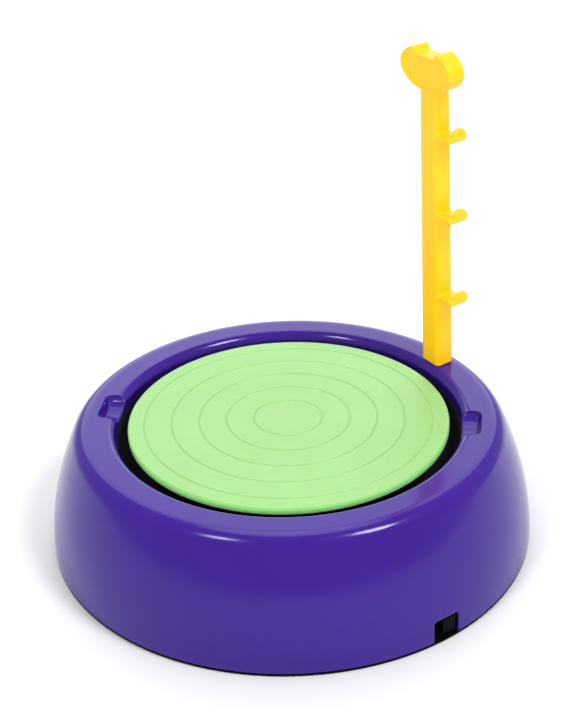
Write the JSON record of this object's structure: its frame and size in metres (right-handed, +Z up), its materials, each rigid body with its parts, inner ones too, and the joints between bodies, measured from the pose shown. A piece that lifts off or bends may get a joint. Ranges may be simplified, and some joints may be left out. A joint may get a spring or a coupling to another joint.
{
  "type": "toy pottery wheel",
  "caption": "Battery-driven toy pottery wheel: round glossy housing with a sunken basin, grooved lift-off turntable, and a plug-in tool post with hooks.",
  "frame": {"origin": "on the spindle's axis, at the plane that the rubber feet rest on", "axes": "+Z up along the spindle; -Y is the front, where the battery bay lies; +X is the right-hand side; the tool post stands at the back right"},
  "size_m": [0.2432, 0.2432, 0.2347],
  "materials": {
    "shell_purple": "glossy moulded ABS, soft highlights",
    "turntable_green": "satin moulded plastic with turned grooves",
    "post_yellow": "satin-gloss moulded plastic",
    "cover_black": "fine-textured black ABS",
    "switch_grey": "dark grey moulded knob",
    "foot_rubber": "matt rubber pad",
    "steel": "plated steel",
    "bronze": "sintered bronze",
    "nylon_white": "natural nylon",
    "gearbox_grey": "grey ABS",
    "cell_wrap": "plain shrink-wrap",
    "lead_red": "PVC insulation",
    "lead_blue": "PVC insulation",
    "lead_black": "PVC insulation"
  },
  "bodies": {
    "housing": {"housing_shell": "shell_purple", "bottom_cover": "cover_black", "gearbox_frame": "gearbox_grey", "gearbox_cover": "gearbox_grey", "lower_bush": "bronze", "upper_bush": "bronze", "compound_gear_pin": "steel", "motor_can": "steel", "motor_end_cap": "nylon_white", "battery_box": "cover_black", "switch_body": "cover_black", "battery_contact_end_left": "steel", "battery_contact_middle": "steel", "battery_contact_end_right": "steel", "battery_contact_front_left": "steel", "battery_contact_front_right": "steel", "lead_battery_to_switch": "lead_red", "lead_switch_to_motor": "lead_blue", "lead_motor_to_battery": "lead_black", "battery_1": "cell_wrap", "battery_2": "cell_wrap", "battery_3": "cell_wrap", "battery_4": "cell_wrap", "gearbox_screw_1": "steel", "gearbox_screw_2": "steel", "gearbox_screw_3": "steel", "gearbox_screw_4": "steel", "cover_screw_1": "steel", "cover_screw_2": "steel", "cover_screw_3": "steel", "cover_screw_4": "steel", "rubber_foot_1": "foot_rubber", "rubber_foot_2": "foot_rubber", "rubber_foot_3": "foot_rubber", "rubber_foot_4": "foot_rubber"},
    "spindle": {"drive_spindle": "steel", "output_gear": "nylon_white"},
    "wheel_head": {"turntable": "turntable_green"},
    "compound": {"compound_gear": "nylon_white"},
    "rotor": {"motor_pinion": "bronze", "motor_shaft": "steel"},
    "post": {"tool_post": "post_yellow"},
    "power_switch": {"switch_knob": "switch_grey"},
    "door": {"battery_door": "cover_black", "battery_door_screw": "steel"}
  },
  "joints": [
    {"name": "turntable_spin", "type": "hinge", "parent": "housing", "child": "spindle", "pos_m": [0, 0, 0.03], "axis": [0, 0, 1], "continuous": true},
    {"name": "turntable_lift", "type": "slide", "parent": "spindle", "child": "wheel_head", "axis": [0, 0, 1], "range_m": [0, 0.03]},
    {"name": "compound_gear_spin", "type": "hinge", "parent": "housing", "child": "compound", "pos_m": [0, 0.03, 0.03], "axis": [0, 0, 1], "continuous": true},
    {"name": "motor_spin", "type": "hinge", "parent": "housing", "child": "rotor", "pos_m": [0.02443, 0.03889, 0.036], "axis": [0, 0, 1], "continuous": true},
    {"name": "tool_post_pull", "type": "slide", "parent": "housing", "child": "post", "axis": [-0.0287, -0.0183, 0.9994], "range_m": [0, 0.016]},
    {"name": "switch_slide", "type": "slide", "parent": "housing", "child": "power_switch", "axis": [0.8211, 0.5707, 0], "range_m": [-0.0052, 0]},
    {"name": "battery_door_swing", "type": "hinge", "parent": "housing", "child": "door", "pos_m": [0, -0.0451, 0.0004], "axis": [1, 0, 0], "range_deg": [0, 85]}
  ],
  "couplings": [
    {"joint": "compound_gear_spin", "follows": "turntable_spin", "ratio": -4},
    {"joint": "motor_spin", "follows": "turntable_spin", "ratio": 13.333}
  ]
}
